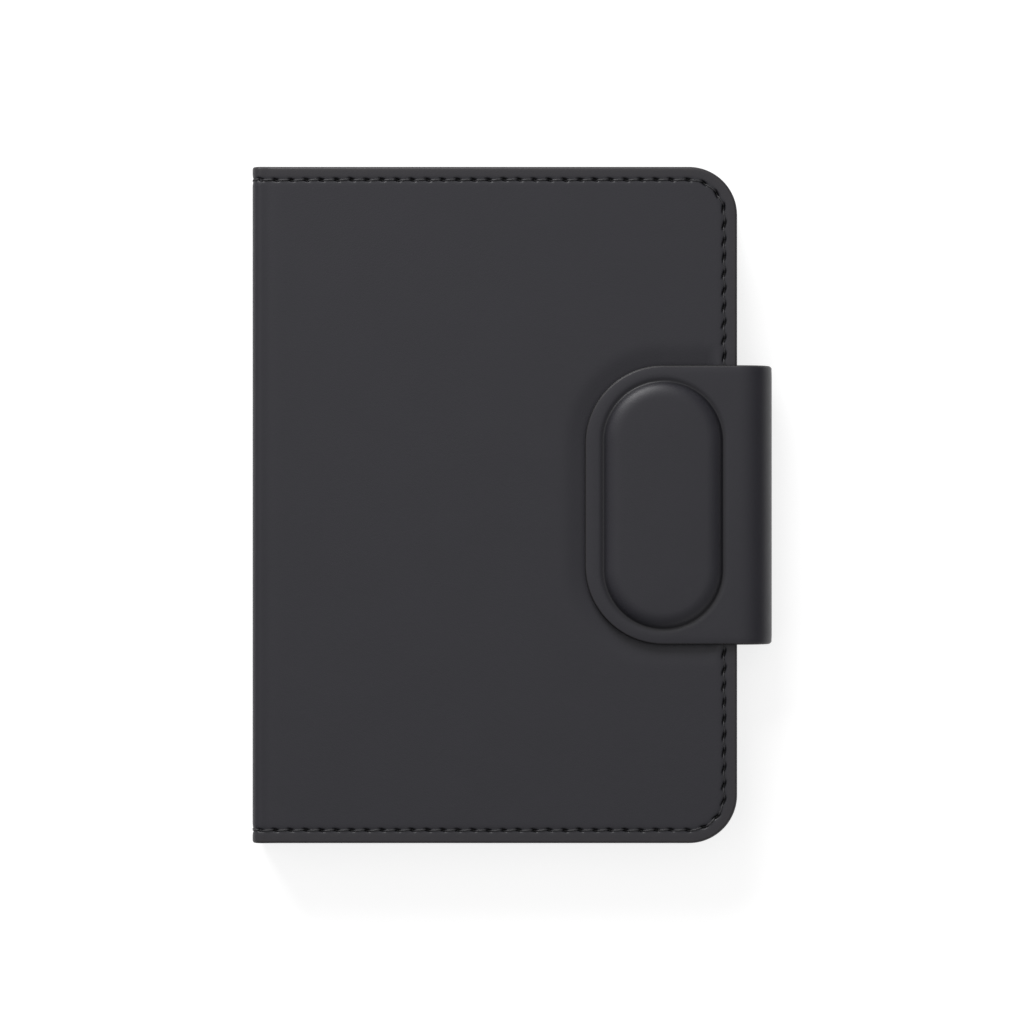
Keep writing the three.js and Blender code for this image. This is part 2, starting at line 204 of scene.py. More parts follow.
class Look:
    """A procedural material: one Principled shader, and the nodes that feed it."""

    def __init__(self, name, **numbers):
        self.material = bpy.data.materials.new(name)
        self.material.use_nodes = True
        self.tree = self.material.node_tree
        self.shader = self.tree.nodes["Principled BSDF"]
        for socket, value in numbers.items():
            self.shader.inputs[socket.replace("_", " ")].default_value = value
        self.place = self.add("ShaderNodeTexCoord").outputs["Object"]

    def add(self, kind, settings=None, **inputs):
        node = self.tree.nodes.new(kind)
        for key, value in (settings or {}).items():
            setattr(node, key, value)
        for key, value in inputs.items():
            socket = node.inputs[key.replace("_", " ")]
            if isinstance(value, bpy.types.NodeSocket):
                self.tree.links.new(value, socket)
            else:
                socket.default_value = value
        return node

    def feed(self, socket, value):
        self.tree.links.new(value, self.shader.inputs[socket])

    def noise(self, size, detail=3.0, place=None):
        """Noise whose blotches are about size millimetres across."""
        place = place or self.place
        node = self.add("ShaderNodeTexNoise", Vector=place, Scale=1 / (size * MM), Detail=detail)
        return node.outputs["Fac"]

    def cells(self, size, feature="F1"):
        settings = {"feature": feature}
        node = self.add("ShaderNodeTexVoronoi", settings, Vector=self.place, Scale=1 / (size * MM))
        return node.outputs["Distance"]

    def painted(self, name):
        return self.add("ShaderNodeAttribute", {"attribute_name": name}).outputs["Fac"]

    def sum(self, operation, a, b):
        node = self.tree.nodes.new("ShaderNodeMath")
        node.operation = operation
        for socket, value in zip(node.inputs, (a, b)):
            if isinstance(value, bpy.types.NodeSocket):
                self.tree.links.new(value, socket)
            else:
                socket.default_value = value
        return node.outputs["Value"]

    def ramp(self, share, low, high):
        """A number from low to high as share goes from 0 to 1."""
        node = self.add("ShaderNodeMapRange", Value=share, To_Min=low, To_Max=high)
        return node.outputs["Result"]

    def blend_colours(self, share, a, b):
        node = self.tree.nodes.new("ShaderNodeMix")
        node.data_type = "RGBA"
        share_socket, a_socket, b_socket = node.inputs[0], node.inputs[6], node.inputs[7]
        for socket, value in ((share_socket, share), (a_socket, a), (b_socket, b)):
            if isinstance(value, bpy.types.NodeSocket):
                self.tree.links.new(value, socket)
            else:
                socket.default_value = (*value, 1) if isinstance(value, tuple) else value
        return node.outputs[2]

    def bump(self, height, depth, strength=1.0):
        """Surface relief, depth millimetres deep."""
        node = self.add("ShaderNodeBump", Height=height, Distance=depth * MM, Strength=strength)
        self.feed("Normal", node.outputs["Normal"])


def leather(name, dark, light, worn, roughness):
    """Soft-touch coated leather: fine pebble grain, faint mottling, paler where edges rub."""
    look = Look(name, Specular_IOR_Level=0.38)
    mottle = look.noise(11.0, 4.0)
    base = look.blend_colours(mottle, dark, light)
    wear = look.sum("MULTIPLY", look.painted("wear"), look.ramp(look.noise(2.2), 0.35, 1.0))
    base = look.blend_colours(wear, base, worn)
    # painted shade and edge paint: near black where the shade mark is set, which is painted shade in stitch
    # holes, seam furrows and the pad's groove, and the paint bead on the tab's cut edge
    base = look.blend_colours(look.painted("shade"), base, (0.0012, 0.0012, 0.0013))
    look.feed("Base Color", base)
    grain = look.sum("ADD", look.cells(0.34), look.sum("MULTIPLY", look.noise(0.16), 0.6))
    look.bump(look.sum("ADD", grain, look.sum("MULTIPLY", look.noise(3.0), 0.9)), 0.011)
    look.feed("Roughness", look.ramp(look.noise(1.4), roughness - 0.05, roughness + 0.05))
    return look.material


def woven(name, dark, light, pitch):
    """Tight plain-weave lining cloth."""
    look = Look(name, Specular_IOR_Level=0.2, Sheen_Weight=0.25, Sheen_Roughness=0.5)
    wave = {"wave_type": "BANDS", "bands_direction": "X"}
    turns = 0.05 / (pitch * MM) * 2 * math.pi
    warp = look.add("ShaderNodeTexWave", wave, Vector=look.place, Scale=turns).outputs["Fac"]
    wave["bands_direction"] = "Y"
    weft = look.add("ShaderNodeTexWave", wave, Vector=look.place, Scale=turns).outputs["Fac"]
    cloth = look.sum("MULTIPLY", warp, weft)
    tone = look.sum("ADD", look.sum("MULTIPLY", cloth, 0.5), look.sum("MULTIPLY", look.noise(6.0), 0.5))
    base = look.blend_colours(tone, dark, light)
    # painted shade: near black in the stitch holes, for the shade in them
    look.feed("Base Color", look.blend_colours(look.painted("shade"), base, (0.002, 0.002, 0.002)))
    look.bump(look.sum("ADD", cloth, look.noise(0.12)), 0.03)
    look.feed("Roughness", look.ramp(look.noise(0.5), 0.78, 0.92))
    return look.material


def speckled(name, dark, light, size, depth, roughness, metallic=0.0, stretch=None):
    """Board, foam and metal: two colours in a noise of one size, with relief to match."""
    look = Look(name, Metallic=metallic)
    if stretch:
        scaled = look.add("ShaderNodeMapping", Vector=look.place, Scale=stretch)
        look.place = scaled.outputs["Vector"]
    grain = look.noise(size, 5.0)
    look.feed("Base Color", look.blend_colours(grain, dark, light))
    look.bump(grain, depth)
    look.feed("Roughness", look.ramp(look.noise(size * 4), roughness - 0.08, roughness + 0.08))
    return look.material


def open_cell_foam():
    look = Look("open_cell_foam", Specular_IOR_Level=0.1)
    cells = look.cells(0.45)
    look.feed("Base Color", look.blend_colours(cells, (0.015, 0.015, 0.016), (0.13, 0.13, 0.14)))
    look.bump(cells, 0.2)
    look.feed("Roughness", look.ramp(look.noise(0.3), 0.9, 1.0))
    return look.material


LOOKS = {
    "skin": leather(
        "soft_touch_skin",
        dark=(0.0188, 0.0181, 0.0235), light=(0.0216, 0.0208, 0.027), worn=(0.034, 0.031, 0.033),
        roughness=0.46,
    ),
    "pocket": leather(
        "pocket_skin",
        dark=(0.0165, 0.016, 0.018), light=(0.0205, 0.02, 0.0225), worn=(0.04, 0.038, 0.037),
        roughness=0.58,
    ),
    "lining": woven("lining_cloth", (0.008, 0.008, 0.0095), (0.03, 0.03, 0.033), 0.42),
    "thread": speckled(
        "seam_thread", (0.013, 0.0125, 0.0145), (0.027, 0.026, 0.03),
        size=0.12, depth=0.03, roughness=0.56,
    ),
    "board": speckled(
        "grey_board", (0.2, 0.19, 0.175), (0.42, 0.4, 0.37),
        size=0.5, depth=0.03, roughness=0.9,
    ),
    "foam": open_cell_foam(),
    "steel": speckled(
        "zinc_plated_steel", (0.42, 0.42, 0.43), (0.62, 0.62, 0.63),
        size=0.3, depth=0.004, roughness=0.38, metallic=1.0, stretch=(1, 0.05, 1),
    ),
    "magnet": speckled(
        "nickel_plate", (0.55, 0.53, 0.5), (0.72, 0.7, 0.66),
        size=1.2, depth=0.002, roughness=0.22, metallic=1.0,
    ),
}

# ---------------------------------------------------------------- flat outlines


class Outline:
    """A flat panel: open at start, two round corners at end, and v from -half to half.

    A column is a distance along its three closed sides, measured on a line ref inside the edge."""

    def __init__(self, start, end, half, radius, ref=0.0):
        self.start, self.end, self.half, self.radius, self.ref = start, end, half, radius, ref
        self.leg = end - radius - start
        self.turn = (radius - ref) * RIGHT_ANGLE
        self.total = 2 * (self.leg + self.turn + half - radius)

    def columns(self, leg_step, turn_step, end_step, first=(0.0,)):
        """Columns from one end of the U to the other, the same both ways. first lists the nearest ones."""
        stops = (self.leg, self.leg + self.turn, self.total / 2)
        half = list(first)
        for stop, step in zip(stops, (leg_step, turn_step, end_step)):
            count = max(1, round((stop - half[-1]) / step))
            half += list(np.linspace(half[-1], stop, count + 1)[1:])
        half = np.array(half)
        return np.concatenate([half, self.total - half[-2::-1]])

    def plan(self, t, inset):
        """Flat place of the columns t, drawn in from the edge by inset."""
        back = np.minimum(t, self.total - t)
        side = np.where(t < self.total / 2, -1.0, 1.0)
        radius = self.radius - inset
        angle = np.clip((back - self.leg) / (self.radius - self.ref), 0, RIGHT_ANGLE)
        run = np.clip(back - self.leg - self.turn, 0, None)
        u = self.start + np.clip(back, None, self.leg) + radius * np.sin(angle)
        v = side * (self.half - self.radius + radius * np.cos(angle) - run)
        return u, v


def wrap_cover(u, v, depth, top):
    """Flat cover work bent round the fold and up the spine. depth is from the outer face."""
    angle = np.clip((FLAT_X - u) / FOLD_R, 0, RIGHT_ANGLE)
    radius = FOLD_R - depth
    x = FLAT_X + np.maximum(u - FLAT_X, 0) - radius * np.sin(angle)
    z = FOLD_R - radius * np.cos(angle) + np.maximum(FOLD_END_U - u, 0)
    return np.stack([x, v + 0 * x, CLOSED_T - z if top else z], axis=-1)


def wrap_strap(u, v, depth, top):
    """Flat strap work bent round the fore edge. u is 0 half way round and grows towards an end."""
    angle = np.clip(u / BEND_R, 0, RIGHT_ANGLE)
    radius = BEND_R - depth
    out = np.clip(np.cos(angle), 0, None) ** BEND_SQUARE
    x = BEND_X + BEND_BULGE * radius * out - np.maximum(u - BEND_LENGTH, 0)
    rise = radius * np.sin(angle) ** BEND_SQUARE
    return np.stack([x, v + 0 * x, BEND_Z + rise if top else BEND_Z - rise], axis=-1)


# ---------------------------------------------------------------- meshes


def make_object(name, points, faces, slot, body=None, **paint):
    """A closed mesh with its faces turned outwards. paint is one number for each point."""
    mesh = bpy.data.meshes.new(name)
    mesh.from_pydata((np.asarray(points) * MM).tolist(), [], faces)
    for layer_name in ("wear", "shade"):
        values = np.clip(paint.get(layer_name, np.zeros(len(points))), 0, 1)
        layer = mesh.attributes.new(layer_name, "FLOAT", "POINT")
        layer.data.foreach_set("value", values.astype(np.float32))
    work = bmesh.new()
    work.from_mesh(mesh)
    bmesh.ops.recalc_face_normals(work, faces=work.faces)
    work.to_mesh(mesh)
    work.free()
    mesh.shade_smooth()
    mesh.set_sharp_from_angle(angle=SMOOTH_ANGLE)
    mesh.materials.append(LOOKS[slot])
    piece = bpy.data.objects.new(name, mesh)
    bpy.context.scene.collection.objects.link(piece)
    if body:
        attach(piece, body)
    return piece


def walls(ring_count, column_count, base=0, closed=False):
    """Quads between neighbouring rings."""
    faces = []
    across = column_count if closed else column_count - 1
    for ring in range(ring_count - 1):
        low = base + ring * column_count
        high = low + column_count
        for j in range(across):
            k = (j + 1) % column_count
            faces.append((low + j, low + k, high + k, high + j))
    return faces


def fill(base, column_count, strips):
    """The inside of a U-shaped ring: long quads over its first columns, and one flat face for the rest."""
    last = column_count - 1
    faces = [(base + j, base + j + 1, base + last - j - 1, base + last - j) for j in range(strips)]
    faces.append(tuple(base + j for j in range(strips, column_count - strips)))
    return faces


def cut_end(ring_count, column_count):
    """The flat end where a U-shaped solid stops."""
    near = [ring * column_count for ring in range(ring_count)]
    far = [ring * column_count + column_count - 1 for ring in reversed(range(ring_count))]
    return [tuple(near + far)]


def slab_faces(ring_count, column_count, strips):
    faces = walls(ring_count, column_count)
    faces += fill(0, column_count, strips)
    faces += fill((ring_count - 1) * column_count, column_count, strips)
    return faces + cut_end(ring_count, column_count)


def zip_loops(border, hole, uv, centre):
    """Triangles between two loops round a centre, taken in order of their angle about it."""

    def angle(index):
        u, v = uv[index]
        return math.atan2(v, u - centre)

    loops = [sorted(loop, key=angle) for loop in (border, hole)]
    ends = [[angle(index) for index in loop[1:]] + [angle(loop[0]) + 2 * math.pi] for loop in loops]
    at = [0, 0]
    faces = []
    while at[0] < len(border) or at[1] < len(hole):
        waiting = [end[k] if k < len(end) else math.inf for end, k in zip(ends, at)]
        move = 0 if waiting[0] <= waiting[1] else 1
        here = [loop[k % len(loop)] for loop, k in zip(loops, at)]
        ahead = loops[move][(at[move] + 1) % len(loops[move])]
        faces.append((here[0], here[1], ahead))
        at[move] += 1
    return faces


def round_edge(radius, steps, inset, depth, from_deg, to_deg):
    """(inset, depth) of points round an edge, its centre at (inset, depth). 0 degrees is outermost."""
    angles = np.radians(np.linspace(from_deg, to_deg, steps + 1))
    return [(inset - radius * math.cos(a), depth - radius * math.sin(a)) for a in angles]


# ---------------------------------------------------------------- seams

COVER = Outline(MID_SPINE_U, EDGE_X, EDGE_Y, CORNER_R, ref=SEAM)

STITCH_STEPS = 14
STITCH_SIDES = 10
HOLE_GRIP = 0.42  # share of a hole's half length at which the thread goes down
STITCH_LEAN = 0.13  # how far a stitch's ends lie to either side of the seam line
PLY_TWIST = 0.62
PLY_RELIEF = 0.13
THREAD_SUNK = 0.08  # the middle of a needle stitch below the face it lies on
THREAD_END = 0.6  # and at its ends, in the holes
BOBBIN_SUNK = 0.05  # the same for the stitches on the lining
BOBBIN_END = 0.3
THREAD_PROUD = THREAD_R * (1 + PLY_RELIEF) - THREAD_SUNK  # the wallet stands on its stitches


def hole_line():
    """Awl holes along the seam: one pitch along head and tail, a longer one down the fore edge."""
    side = PITCH * (0.5 + np.arange(int(COVER.leg / PITCH)))
    count = round((COVER.total / 2 - side[-1]) / EDGE_PITCH)
    edge = np.linspace(side[-1], COVER.total / 2, count + 1)[1:]
    half = np.concatenate([[-side[0]], side, edge])
    return np.concatenate([half, COVER.total - half[-2::-1]])


HOLES = hole_line()


class Seam:
    """One line of lockstitch, each hole a little out of true."""

    def __init__(self):
        count = len(HOLES)
        self.hole = HOLES + RNG.normal(0, 0.05, count)
        self.off = RNG.normal(0, 0.035, count)
        self.slant = HOLE_SLANT + RNG.normal(0, math.radians(3), count)
        self.deep = 1 + RNG.normal(0, 0.06, count)
        back = np.minimum(HOLES, COVER.total - HOLES)
        self.long = mix(HOLE_HALF_L, EDGE_HOLE_HALF_L, smooth(back, COVER.leg, COVER.leg + COVER.turn))

    def marks(self, t, inset):
        """Shares of a furrow and of a hole at column t and inset."""
        between = (self.hole[1:] + self.hole[:-1]) / 2
        near = np.searchsorted(between, t)
        along = t - self.hole[near]
        across = inset - SEAM - self.off[near]
        major = along * np.cos(self.slant[near]) - across * np.sin(self.slant[near])
        minor = along * np.sin(self.slant[near]) + across * np.cos(self.slant[near])
        furrow = (0.55 + 0.45 * bell(along, 0, 1.2)) * bell(inset, SEAM, 0.6)
        shape = np.abs(major / self.long[near]) ** 3 + np.abs(minor / HOLE_HALF_W) ** 3
        return furrow, self.deep[near] * np.exp(-shape)

    def stitches(self):
        """Centre lines of the stitches as (t, inset, sink). sink is 0 at rest and 1 in a hole."""
        share = np.linspace(0, 1, STITCH_STEPS + 1)
        for k in range(len(self.hole) - 1):
            start = self.hole[k] + HOLE_GRIP * self.long[k]
            end = self.hole[k + 1] - HOLE_GRIP * self.long[k + 1]
            t = mix(start, end, share)
            lean = mix(STITCH_LEAN, -STITCH_LEAN, share)
            inset = SEAM + mix(self.off[k], self.off[k + 1], share) - lean
            yield t, inset, np.abs(2 * share - 1) ** 3.5


def tube(centre, inward, sink):
    """Rings of a two-ply strand along its centre line."""
    along = unit(np.gradient(centre, axis=0))
    side = unit(np.cross(along, inward))
    up = np.cross(side, along)
    turn = np.linspace(0, 2 * math.pi, STITCH_SIDES, endpoint=False)
    run = np.arange(len(centre))[:, None] * PLY_TWIST
    thick = np.clip(1.25 - sink, 0.3, 1)[:, None] ** 0.5
    radius = THREAD_R * thick * (1 + PLY_RELIEF * np.cos(2 * (turn - run)))
    return (
        centre[:, None, :]
        + (radius * np.cos(turn))[:, :, None] * side[:, None, :]
        + (radius * np.sin(turn))[:, :, None] * up[:, None, :]
    )


def make_threads(name, seam, surface, rest, sunk, replaced, skip_ends):
    """Every stitch of one seam: a strand that rises from one hole and dives into the next."""
    points, faces = [], []
    strands = list(seam.stitches())
    if skip_ends:
        strands = strands[1:-1]
    for t, inset, sink in strands:
        u, v = COVER.plan(t, inset)
        centre = surface(u, v, mix(rest, sunk, sink))
        inward = unit(surface(u, v, mix(rest, sunk, sink) + 0.1) - centre)
        base = len(points) * STITCH_SIDES * (STITCH_STEPS + 1)
        points.append(tube(centre, inward, sink).reshape(-1, 3))
        faces += walls(STITCH_STEPS + 1, STITCH_SIDES, base, closed=True)
        faces.append(tuple(base + j for j in range(STITCH_SIDES)))
        faces.append(tuple(base + STITCH_STEPS * STITCH_SIDES + j for j in range(STITCH_SIDES)))
    piece = make_object(name, np.concatenate(points), faces, "thread")
    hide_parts(*replaced)
    return piece


# ---------------------------------------------------------------- covers

FURROW = 0.12
HOLE_DEPTH = 0.52
LINING_FURROW = 0.1
LINING_HOLE = 0.22
SPINE_PINCH = 0.9  # how much deeper the furrow is round the spine
VALLEY = 0.1  # depth of the soft line between the fold and the board's edge
VALLEY_W = 1.3
NET_INSET = 7.6  # the even net over the flat middle of a cover starts that far from its edges
NET_STEP = 1.0
RIM_WEAR = 0.5
DENT = 0.6
DENT_REACH = 5.0


def board_share(u):
    """1 over the boarded cover, falling to 0 in the fold and on the spine."""
    return smooth(u, FLAT_X + 0.7, BOARD_X + 0.7)


def rim_thickness(u, v, slotted):
    """Total thickness of the turned edge, which is left open where the strap comes out."""
    thickness = mix(SPINE_RIM_T, RIM_T, board_share(u))
    if slotted:
        across = smooth(u, EDGE_X - SLOT_REACH, EDGE_X - SLOT_REACH + 1)
        inside = 1 - smooth(np.abs(v), SLOT_HALF, SLOT_HALF + 0.5)
        thickness = mix(thickness, SLOT_RIM_T, across * inside)
    return thickness


def cover_section():
    """(inset, depth) round the edge of a cover's skin, from its hidden face to its outer face."""
    hidden = [(HEM_W, SKIN_T), (2.0, SKIN_T), (0.85, SKIN_T), (0.85, HEM_TOP), (HEM_W, HEM_TOP)]
    hem = [(d, RIM_T) for d in (HEM_W, 5.0, 3.0, 1.7, 1.1)]
    under = round_edge(EDGE_ROUND, 6, EDGE_ROUND, RIM_T - EDGE_ROUND, -90, 0)
    over = round_edge(EDGE_ROUND, 7, EDGE_ROUND, EDGE_ROUND, 0, 90)
    near_seam = np.linspace(SEAM - 0.8, SEAM + 0.8, 17)
    face = [(d, 0.0) for d in (1.0, 1.4, 1.8, *near_seam, 4.0, 4.6, 5.4, 6.5)]
    return hidden + hem + under + over + face


def dent(x, y):
    """How far the tab's pull presses the front cover in, at and round the tab."""
    middle = TAB_LOW.x + TAB_CORNER_R
    inner = STRAP_HALF - TAB_CORNER_R
    reach = np.hypot(np.maximum(middle - x, 0), np.maximum(np.abs(y) - inner, 0))
    under = 1 - smooth(reach, TAB_CORNER_R - 1.0, TAB_CORNER_R + DENT_REACH)
    return DENT * under * (1 - smooth(x, EDGE_X - 5.5, EDGE_X - 4))


def face_net(u_low, top):
    """A net of points over the flat middle of a cover, its faces, and its border."""
    u = np.arange(u_low, EDGE_X - NET_INSET, NET_STEP)
    half = EDGE_Y - NET_INSET
    v = np.linspace(-half, half, round(2 * half / NET_STEP) + 1)
    columns, rows = len(u), len(v)
    u, v = (grid.ravel() for grid in np.meshgrid(u, v, indexing="ij"))
    faces = []
    for i in range(columns - 1):
        for j in range(rows - 1):
            k = i * rows + j
            faces.append((k, k + rows, k + rows + 1, k + 1))
    ends = (0, columns - 1), (0, rows - 1)
    border = [k for k in range(columns * rows) if k // rows in ends[0] or k % rows in ends[1]]
    return u, v, wrap_cover(u, v, dent(u, v) if top else 0 * u, top), faces, border


def make_cover_skin(name, top, seam, replaced):
    columns = COVER.columns(0.22, 0.22, 0.22)
    rings, wear, shade = [], [], []
    for inset, depth in cover_section():
        u, v = COVER.plan(columns, inset)
        if depth >= HEM_TOP and inset > SPINE_HEM_W:
            narrow = SPINE_HEM_W + 0.02 * inset
            u, v = COVER.plan(columns, mix(narrow, inset, board_share(u)))
        at = depth * rim_thickness(u, v, slotted=not top) / RIM_T
        rubbed = np.zeros(len(columns))
        dark = np.zeros(len(columns))
        if depth <= SKIN_T:
            at = at + VALLEY * bell(u, FLAT_X + 1.4, VALLEY_W)
        if depth < EDGE_ROUND:
            outside_seam = 1 - smooth(inset, SEAM - 0.9, SEAM - 0.3)
            rubbed = rubbed + bell(inset, 0.25, 0.35) + RIM_WEAR * outside_seam
            at = at + (dent(u, v) if top and depth == 0 else 0)
        if depth == 0:
            pinch = 1 + SPINE_PINCH * (1 - smooth(u, FOLD_END_U, FLAT_X + 0.5))
            furrow, hole = seam.marks(columns, inset)
            at = at + FURROW * pinch * furrow + HOLE_DEPTH * hole
            # painted shade: the stitch holes are drawn near black, and the furrow along the seam a little
            # darker, for the shade that falls into them
            dark = np.clip(hole * 1.3, 0, 1) + 0.25 * furrow
        rings.append(wrap_cover(u, v, at, top))
        wear.append(rubbed)
        shade.append(dark)
    n = len(columns)
    strips = int(np.searchsorted(columns, BOARD_X + 3 - MID_SPINE_U))
    faces = walls(len(rings), n) + fill(0, n, strips) + cut_end(len(rings), n)
    *bent, border = fill((len(rings) - 1) * n, n, strips)
    first = len(rings) * n
    last_u, last_v = COVER.plan(columns, cover_section()[-1][0])
    u, v, net, net_faces, net_border = face_net(last_u[strips] + NET_STEP, top)
    flat = [*zip(np.zeros(first - n), np.zeros(first - n)), *zip(last_u, last_v), *zip(u, v)]
    faces += bent + [tuple(first + k for k in face) for face in net_faces]
    faces += zip_loops(border, [first + k for k in net_border], flat, 0.0)
    rings.append(net)
    paint = {"wear": np.concatenate(wear + [0 * u]), "shade": np.concatenate(shade + [0 * u])}
    piece = make_object(name, np.concatenate(rings), faces, "skin", **paint)
    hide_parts(*replaced)
    return piece


def lining_depth(u):
    return mix(SPINE_LINING_DEPTH, LINING_DEPTH, board_share(u))


def make_cover_lining(name, top, seam, replaced):
    columns = COVER.columns(0.35, 0.35, 0.35)
    edge = LINING_INSET
    near_seam = np.linspace(SEAM - 0.8, SEAM + 0.8, 11)
    section = [(6.5, 0.0), (edge + 0.1, 0.0), (edge, 0.1), (edge, LINING_T - 0.12), (edge + 0.12, LINING_T)]
    section += [(d, LINING_T) for d in (1.85, *near_seam, 4.2, 5.2, 6.5)]
    rings, shade = [], []
    for inset, depth in section:
        u, v = COVER.plan(columns, inset)
        at = lining_depth(u) + depth
        dark = np.zeros(len(columns))
        if depth == LINING_T:
            furrow, hole = seam.marks(columns, inset)
            at = at - LINING_FURROW * furrow - LINING_HOLE * hole
            # painted shade: the lining's stitch holes are drawn near black for the shade in them
            dark = hole
        rings.append(wrap_cover(u, v, at, top))
        shade.append(dark)
    n = len(columns)
    strips = int(np.searchsorted(columns, BOARD_X + 3 - MID_SPINE_U))
    faces = slab_faces(len(rings), n, strips)
    piece = make_object(name, np.concatenate(rings), faces, "lining", shade=np.concatenate(shade))
    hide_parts(*replaced)
    return piece


def bend_at_spine(piece, top):
    """Bakes the piece's placement into its mesh, the same for a top piece and a bottom one."""
    if top:
        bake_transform(piece)
    else:
        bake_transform(piece)


def outer_face(top):
    return lambda u, v, depth: wrap_cover(u, v, depth, top)


def inner_face(top):
    return lambda u, v, depth: wrap_cover(u, v, lining_depth(u) + LINING_T - depth, top)


def make_cover(word, top):
    outer, inner = Seam(), Seam()
    spine_nodes = ["spine_skin"] if top else []
    spine_threads = ["spine_top_thread", "spine_bottom_thread"] if top else []
    spine_lining = ["spine_lining"] if top else []
    pieces = [
        make_cover_skin(f"{word}_skin_wrap", top, outer, [f"{word}_cover_skin", *spine_nodes]),
        make_cover_lining(f"{word}_lining_wrap", top, inner, [f"{word}_cover_lining", *spine_lining]),
        make_threads(
            f"{word}_outer_stitches", outer, outer_face(top), THREAD_SUNK, THREAD_END,
            [f"{word}_seam_outer_thread", *spine_threads], skip_ends=not top,
        ),
        make_threads(
            f"{word}_inner_stitches", inner, inner_face(top), BOBBIN_SUNK, BOBBIN_END,
            [f"{word}_seam_inner_thread"], skip_ends=True,
        ),
    ]
    for piece in pieces:
        bend_at_spine(piece, top)


make_cover("front", top=True)
make_cover("back", top=False)

# ---------------------------------------------------------------- strap

TAB = Outline(0, BEND_LENGTH + BEND_X - TAB_LOW.x, STRAP_HALF, TAB_CORNER_R)
TONGUE = Outline(0, BEND_LENGTH + BEND_X - ANCHOR_LOW.x, STRAP_HALF, TONGUE_CORNER_R)
PAD_U = BEND_LENGTH + BEND_X - PAD_X
BEND_STEPS = 48
BAND_WORN_INSET = 0.3
BAND_WEAR = 0.7  # on that much of a strap band's edge


def strap_columns(outline, turn_step, end_step):
    """Columns close together round the bend."""
    first = np.linspace(0, BEND_LENGTH, BEND_STEPS + 1)
    return outline.columns(3.0, turn_step, end_step, first)


def band_section(thickness, rounding, inset, depth, flat):
    """(inset, depth) round the edge of a strap layer, from its inner face to its outer face."""
    low = round_edge(rounding, 4, inset + rounding, depth + thickness - rounding, -90, 0)
    high = round_edge(rounding, 4, inset + rounding, depth + rounding, 0, 90)
    return [(inset + flat, depth + thickness), *low, *high, (inset + flat, depth)]


def make_band(name, outline, columns, section, top, slot, replaced):
    rings = []
    for inset, depth in section:
        u, v = outline.plan(columns, inset)
        rings.append(wrap_strap(u, v, depth + (tab_droop(u, v) if top else 0), top))
    wear = []
    for inset, _ in section:
        rubbed = slot == "skin" and inset < BAND_WORN_INSET
        wear.append(np.full(len(columns), BAND_WEAR if rubbed else 0.0))
    faces = slab_faces(len(rings), len(columns), BEND_STEPS)
    piece = make_object(name, np.concatenate(rings), faces, slot, wear=np.concatenate(wear))
    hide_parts(*replaced)
    return piece


def pad_height(r):
    """Height of the tab's face at a distance r from the pad's middle line."""
    fall = np.clip((r - PAD_CREST_R) / (PAD_FOOT_R - PAD_CREST_R), 0, 1) ** PAD_SHOULDER
    crown = PAD_CROWN * np.clip(1 - (r / PAD_CREST_R) ** 2, 0, None)
    groove = GROOVE_DEPTH * bell(r, PAD_FOOT_R, np.where(r < PAD_FOOT_R, GROOVE_W, GROOVE_OUTER_W))
    return (PAD_RISE - PAD_CROWN) * (1 - fall) + crown - groove


def cavity_height(r):
    """Height of the hollow's roof, under the pad."""
    return np.minimum(pad_height(r), PAD_RISE - 0.5) - PAD_WALL_T


def obround(r, arc_steps, side_steps):
    """Points r from the pad's middle line, once round."""
    arc = np.linspace(0, math.pi, arc_steps + 1)
    side = np.linspace(PAD_HALF, -PAD_HALF, side_steps + 1)[1:-1]
    u = np.concatenate([r * np.cos(arc), np.full(len(side), -r)])
    v = np.concatenate([PAD_HALF + r * np.sin(arc), side])
    return np.concatenate([u, -u]) + PAD_U, np.concatenate([v, -v])


def pad_rings(radii, height, arc_steps=72, side_steps=14):
    """Nested rings of the pad, each as (u, v, depth)."""
    return [(*obround(r, arc_steps, side_steps), -float(height(r))) for r in radii]


class Patch:
    """Points and faces of the tab's skin, gathered ring by ring."""

    def __init__(self):
        self.uv, self.points, self.faces, self.wear, self.shade = [], [], [], [], []

    def ring(self, u, v, depth, wear=0.0, shade=0.0):
        self.uv += list(zip(u, v))
        self.points += list(wrap_strap(u, v, depth + tab_droop(u, v), top=True))
        self.wear += [wear] * len(u)
        self.shade += [shade] * len(u)


TAB_SECTION_EDGE = 1.8  # the tab is flat further in than that
TAB_ROLL = 0.16
TAB_EDGE_ROUND = 0.26
EDGE_PAINT = 0.2  # radius of the bead of paint on the cut edge
TAB_EDGE_WEAR = 0.8
# how near black the edge paint on the tab's cut edge is drawn; it is partly painted shade for the dark line
# along the tab's edge
PAINT_SHADE = 0.9
DROOP = 0.05


def tab_roll(inset):
    """The tab's face falls away a little towards its edge."""
    return TAB_ROLL * np.clip(1 - inset / TAB_SECTION_EDGE, 0, 1) ** 2.2


def tab_droop(u, v):
    """How far the tab's free edge sinks towards the cover. It is nothing at the pad and at the bend."""
    reach = np.hypot(np.maximum(u - PAD_U, 0), np.maximum(np.abs(v) - PAD_HALF, 0))
    free = smooth(reach, PAD_CREST_R, TAB_CORNER_R)
    return DROOP * free * smooth(u, BEND_LENGTH * 0.3, BEND_LENGTH + 6)


